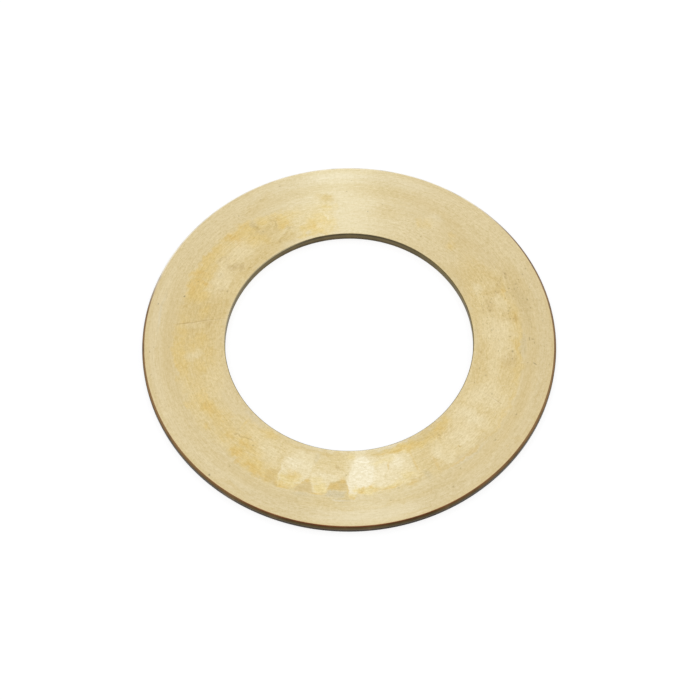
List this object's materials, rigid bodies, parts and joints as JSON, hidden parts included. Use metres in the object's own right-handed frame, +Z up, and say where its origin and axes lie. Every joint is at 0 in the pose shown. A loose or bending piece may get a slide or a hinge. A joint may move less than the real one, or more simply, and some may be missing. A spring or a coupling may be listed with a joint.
{
  "type": "washer",
  "caption": "Flat bronze thrust washer with a large plain bore, flat faces and broken edges; it takes end load between a rotating part and its housing.",
  "frame": {"origin": "centre of the bore, in the plane of the lower thrust face", "axes": "+Z up the bore, out of the upper thrust face; +X to the right and +Y away from the viewer as the picture shows it. The ring is the same all round, so X and Y are only a choice"},
  "size_m": [0.1, 0.1, 0.0025],
  "materials": {
    "bronze": "turned pale bronze with fine circular marks and a yellow-brown tarnish round the bore; rim and bore walls dull olive brown"
  },
  "bodies": {
    "root": {"washer": "bronze"}
  },
  "joints": []
}
